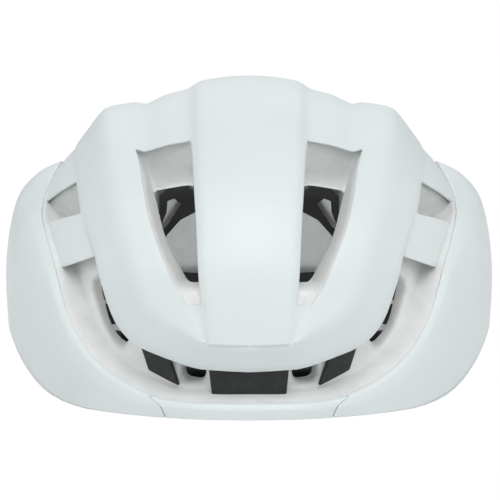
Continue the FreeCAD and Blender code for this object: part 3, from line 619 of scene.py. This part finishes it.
def pad(name, a_span, b_span, steps, across, node):
    """Pillow on the cavity wall: flat on its back, crowned in front, with a welded rim."""
    lines = []
    for face in (0, 1):
        for i in range(steps[0] + 1):
            s = i / steps[0] if face == 0 else 1 - i / steps[0]
            line = []
            for j in range(steps[1] + 1):
                t = j / steps[1]
                fullness = (1 - abs(2 * s - 1) ** 5) * (1 - abs(2 * t - 1) ** 5)
                depth = .55 if face == 0 else .9 + (PAD_THICK - .7) * fullness ** .6
                a = a_span[0] + (a_span[1] - a_span[0]) * s
                top = b_span[1] + END_RISE * limited((abs(a) - END_START) / 3) * (across == "skirt")
                b = b_span[0] + (top - b_span[0]) * t
                line.append(cavity_spot(a, b, depth, across))
            lines.append(line)
    bm = bmesh.new()
    sheet_through(bm, lines + lines[:1])
    bmesh.ops.remove_doubles(bm, verts=bm.verts, dist=PAD_WELD)
    ends = [edge for edge in bm.edges if edge.is_boundary]
    bmesh.ops.holes_fill(bm, edges=ends, sides=0)
    bmesh.ops.recalc_face_normals(bm, faces=bm.faces)
    pillow = add_piece(name, bm, pad_knit)
    surface = pillow.modifiers.new("surface", "SUBSURF")
    surface.levels = 1
    surface.render_levels = 1
    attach(pillow, "helmet")
    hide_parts(node)


pad("brow_cushion", (-46.5, 46.5), (4.3, 16.2), (36, 6), "skirt", "brow_pad")
pad("crown_cushion", (-10.8, 10.8), (-51, 49), (6, 30), "crown", "crown_pad")
pad("side_cushion_left", (45, 58), (-41, 43), (6, 26), "crown", "side_pad_left")
pad("side_cushion_right", (-58, -45), (-41, 43), (6, 26), "crown", "side_pad_right")


# Webbing: flat woven polyester, a front and a rear strap from each side into
# the divider under the ear, and a chin strap folded back through its keeper.

webbing_black, shader, tree = new_material("webbing_black", (0.02, 0.02, 0.021), 0.8)
shader.inputs["Sheen Weight"].default_value = 0.15
uv = tree.nodes.new("ShaderNodeUVMap")
uv.uv_map = "weave"
ridges = tree.nodes.new("ShaderNodeTexWave")
ridges.inputs["Scale"].default_value = 2.2
ridges.inputs["Distortion"].default_value = 0.4
ridges.bands_direction = "X"
picks = tree.nodes.new("ShaderNodeTexWave")
picks.inputs["Scale"].default_value = 4.5
picks.inputs["Distortion"].default_value = 0.6
picks.bands_direction = "Y"
weave = tree.nodes.new("ShaderNodeMath")
weave.operation = "MULTIPLY"
bump = tree.nodes.new("ShaderNodeBump")
bump.inputs["Strength"].default_value = 0.5
bump.inputs["Distance"].default_value = 0.0002
tree.links.new(uv.outputs["UV"], ridges.inputs["Vector"])
tree.links.new(uv.outputs["UV"], picks.inputs["Vector"])
tree.links.new(ridges.outputs["Fac"], weave.inputs[0])
tree.links.new(picks.outputs["Fac"], weave.inputs[1])
tree.links.new(weave.outputs[0], bump.inputs["Height"])
tree.links.new(bump.outputs["Normal"], shader.inputs["Normal"])
vary(tree, weave.outputs[0], shader.inputs["Base Color"],
     (0.011, 0.011, 0.012, 1), (0.032, 0.032, 0.034, 1))

STRAP_WIDE, STRAP_THICK = 15, 1.4
FRONT_ROUTE = ((66, -44, 15), (62, -36.1, 6.7), (59, -29, 2.7), (50, -3.3, 2.7), (50, 3, 2.7))
REAR_ROUTE = ((56, 66, 12), (52, 54.1, 6.7), (49, 43.6, 2.7), (50, 27.3, 2.7), (50, 21, 2.7))
CHIN_FOLDS = ((39.6, 2.7), (26, 2.7), (24, 3.6), (26, 4.5), (35.6, 4.5), (37.6, 5.4), (35.6, 6.3),
              (18.4, 6.3))
CHIN_Y = 12
PULLED = ((.038, .012, .005), (.02, .012, .005))     # metres; the script reads only that these are given, and then leaves the left chin strap off the helmet body


def webbing(name, path, across, node, pulled=None):
    """Flat strap along a path, with its width in one direction and rounded edges."""
    points = finer([Vector(point) for point in path])
    lines = []
    run = [0]
    for number, point in enumerate(points):
        ahead = points[min(number + 1, len(points) - 1)] - points[max(number - 1, 0)]
        side = (across - ahead * (ahead.dot(across) / ahead.dot(ahead))).normalized()
        lines.append([point + side * (STRAP_WIDE - 1) * share for share in (-.5, -.25, 0, .25, .5)])
        if number:
            run.append(run[-1] + (point - points[number - 1]).length)
    bm = bmesh.new()
    grid = sheet_through(bm, lines)
    layer = bm.loops.layers.uv.new("weave")
    for number, chain in enumerate(grid):
        for step, vert in enumerate(chain):
            for loop in vert.link_loops:
                loop[layer].uv = (step * STRAP_WIDE / 4, run[number])
    strap = add_piece(name, bm, webbing_black)
    wall = strap.modifiers.new("wall", "SOLIDIFY")
    wall.thickness = (STRAP_THICK - .2) * MM
    wall.offset = 0
    surface = strap.modifiers.new("surface", "SUBSURF")
    surface.levels = 2
    surface.render_levels = 2
    if pulled:
        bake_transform(strap)
    else:
        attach(strap, "helmet")
    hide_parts(node)


for side, turn in (("left", 1), ("right", -1)):
    for name, path in (("front", FRONT_ROUTE), ("rear", REAR_ROUTE)):
        points = [(turn * x, y, z) for x, y, z in path]
        along = Vector(points[-1]) - Vector(points[0])
        webbing("%s_webbing_%s" % (name, side), points, Vector((along.y, -along.x, 0)),
                "%s_strap_%s" % (name, side))
    webbing("chin_webbing_" + side, [(turn * x, CHIN_Y, z) for x, z in CHIN_FOLDS],
            Vector((0, 1, 0)), "chin_strap_" + side, PULLED if side == "left" else None)


# Carried-over fittings: fine-textured black nylon for the cradle, dial works,
# anchors, dividers and buckle, soft-touch rubber for the dial and strap ring.

nylon_black, shader, tree = new_material("nylon_black", (0.011, 0.011, 0.012), 0.5)
shader.inputs["Specular IOR Level"].default_value = 0.35
noise, _ = noise_bump(tree, shader, 1800, 4, .35, .0001)
vary(tree, noise.outputs["Fac"], shader.inputs["Base Color"],
     (0.008, 0.008, 0.0085, 1), (0.015, 0.015, 0.016, 1), .3, .7)
vary(tree, noise.outputs["Fac"], shader.inputs["Roughness"], (.42,) * 3 + (1,), (.6,) * 3 + (1,), .3, .7)
rubber_black, shader, tree = new_material("rubber_black", (0.02, 0.02, 0.02), 0.8)
noise, _ = noise_bump(tree, shader, 700, 5, .3, .0001)
vary(tree, noise.outputs["Fac"], shader.inputs["Base Color"],
     (0.015, 0.015, 0.015, 1), (0.028, 0.028, 0.028, 1), .3, .7)

nylon_nodes = ["cradle", "dial_cover", "pinion", "band_left", "band_right", "height_rail",
               "temple_anchor_left", "temple_anchor_right", "temple_clip_left", "temple_clip_right",
               "strap_anchors_left", "strap_anchors_right", "strap_divider_left",
               "strap_divider_right", "buckle_housing", "buckle_tongue"]
for names, material in ((nylon_nodes, nylon_black), (["dial_knob", "strap_keeper"], rubber_black)):
    for name in names:
        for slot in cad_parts[name].material_slots:
            slot.material = material
